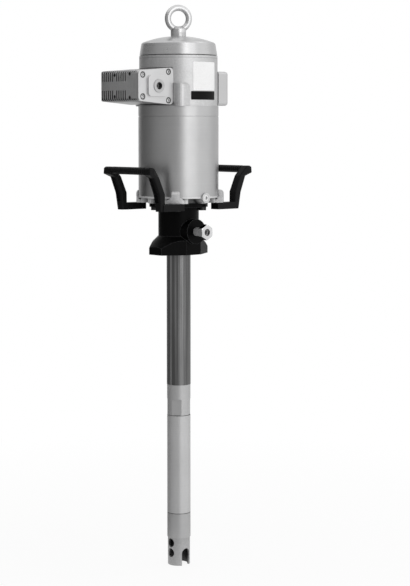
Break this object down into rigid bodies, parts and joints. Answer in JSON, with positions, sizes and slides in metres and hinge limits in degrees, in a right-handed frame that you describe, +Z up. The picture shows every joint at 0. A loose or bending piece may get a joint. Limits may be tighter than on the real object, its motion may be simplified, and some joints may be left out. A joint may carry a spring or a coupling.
{
  "type": "pneumatic piston pump",
  "caption": "Air-driven reciprocating piston pump: upright air motor with valve block, lifting eye and two carrying handles over a long suction tube with foot valve.",
  "frame": {"origin": "on the pump's axis at the lower mounting flange's bottom face, where the suction tube leaves it", "axes": "+Z up along the pump's axis to the lifting eye; -Y towards the air inlet and the outlet; -X towards the air valve"},
  "size_m": [0.2303, 0.135, 0.916],
  "materials": {
    "eye_steel": "forged, dull zinc grey",
    "cap_metal": "fine turned",
    "head_casting": "blasted casting, turned round the cap",
    "cylinder_metal": "satin, fine turned",
    "base_metal": "as cast",
    "valve_casting": "satin",
    "inlet_metal": "smooth satin",
    "muffler_metal": "dull dark grey",
    "transfer_metal": "satin",
    "bush_steel": "zinc plated",
    "screw_steel": "zinc plated",
    "dark_screws": "blackened",
    "handle_plastic": "moulded, fine grain",
    "black_casting": "satin black",
    "nipple_steel": "dull",
    "fitting_steel": "bright plated",
    "tube_steel": "dark, brushed lengthwise",
    "coupling_steel": "fine turned",
    "pump_steel": "satin ground",
    "foot_steel": "satin",
    "rod_chrome": "polished",
    "ball_steel": "polished",
    "inner_steel": "machined",
    "inner_aluminium": "machined",
    "bronze": "machined",
    "rubber_black": "matt",
    "felt": "open foam"
  },
  "bodies": {
    "housing": {"eye_bolt": "eye_steel", "top_cap": "cap_metal", "cap_seal": "rubber_black", "motor_head": "head_casting", "head_seal": "rubber_black", "motor_cylinder": "cylinder_metal", "base_casting": "base_metal", "base_seal": "rubber_black", "passage_plug": "screw_steel", "rod_bush": "bronze", "rod_seal": "rubber_black", "upper_pilot_spring": "inner_steel", "lower_pilot_spring": "inner_steel", "pilot_plugs": "screw_steel", "valve_gasket": "rubber_black", "valve_body": "valve_casting", "valve_sleeve": "inner_steel", "inlet_cover": "inlet_metal", "inlet_bush": "bush_steel", "inlet_cover_screws": "screw_steel", "rear_cover": "valve_casting", "rear_cover_screws": "screw_steel", "valve_mount_screws": "screw_steel", "muffler_cover": "muffler_metal", "muffler_felt": "felt", "muffler_screws": "dark_screws", "transfer_gasket": "rubber_black", "transfer_cover": "transfer_metal", "transfer_cover_screws": "screw_steel", "handle_left": "handle_plastic", "handle_right": "handle_plastic", "handle_screws": "dark_screws", "outlet_body": "black_casting", "outlet_body_screws": "dark_screws", "rod_packing": "rubber_black", "packing_gland": "inner_steel", "outlet_nipple": "nipple_steel", "outlet_fitting": "fitting_steel", "suction_tube": "tube_steel", "tube_coupling": "coupling_steel", "pump_cylinder": "pump_steel", "foot_valve_body": "pump_steel", "foot_valve_seat": "inner_steel", "foot_ball_stop": "inner_steel", "suction_foot": "foot_steel"},
    "piston_group": {"air_piston": "inner_aluminium", "piston_seal": "rubber_black", "piston_nut": "screw_steel", "piston_rod": "rod_chrome", "connecting_rod": "inner_steel", "plunger": "inner_steel", "plunger_seal": "rubber_black", "plunger_seat": "inner_steel"},
    "plunger_check": {"plunger_ball": "ball_steel"},
    "foot_check": {"foot_ball": "ball_steel"},
    "spool": {"valve_spool": "inner_aluminium", "spool_seals": "rubber_black"},
    "upper_pilot": {"upper_pilot_pin": "inner_steel"},
    "lower_pilot": {"lower_pilot_pin": "inner_steel"}
  },
  "joints": [
    {"name": "piston_slide", "type": "slide", "parent": "housing", "child": "piston_group", "axis": [0, 0, 1], "range_m": [0, 0.1]},
    {"name": "plunger_ball_lift", "type": "slide", "parent": "piston_group", "child": "plunger_check", "axis": [0, 0, 1], "range_m": [0, 0.003]},
    {"name": "foot_ball_lift", "type": "slide", "parent": "housing", "child": "foot_check", "axis": [0, 0, 1], "range_m": [0, 0.006]},
    {"name": "spool_slide", "type": "slide", "parent": "housing", "child": "spool", "axis": [0, 1, 0], "range_m": [0, 0.008]},
    {"name": "upper_pilot_slide", "type": "slide", "parent": "housing", "child": "upper_pilot", "axis": [0, 0, 1], "range_m": [0, 0.003], "stiffness_N_per_m": 1000, "springref_m": -0.003, "deforming": ["upper_pilot_spring"]},
    {"name": "lower_pilot_slide", "type": "slide", "parent": "housing", "child": "lower_pilot", "axis": [0, 0, -1], "range_m": [0, 0.003], "stiffness_N_per_m": 1000, "springref_m": -0.003, "deforming": ["lower_pilot_spring"]}
  ]
}
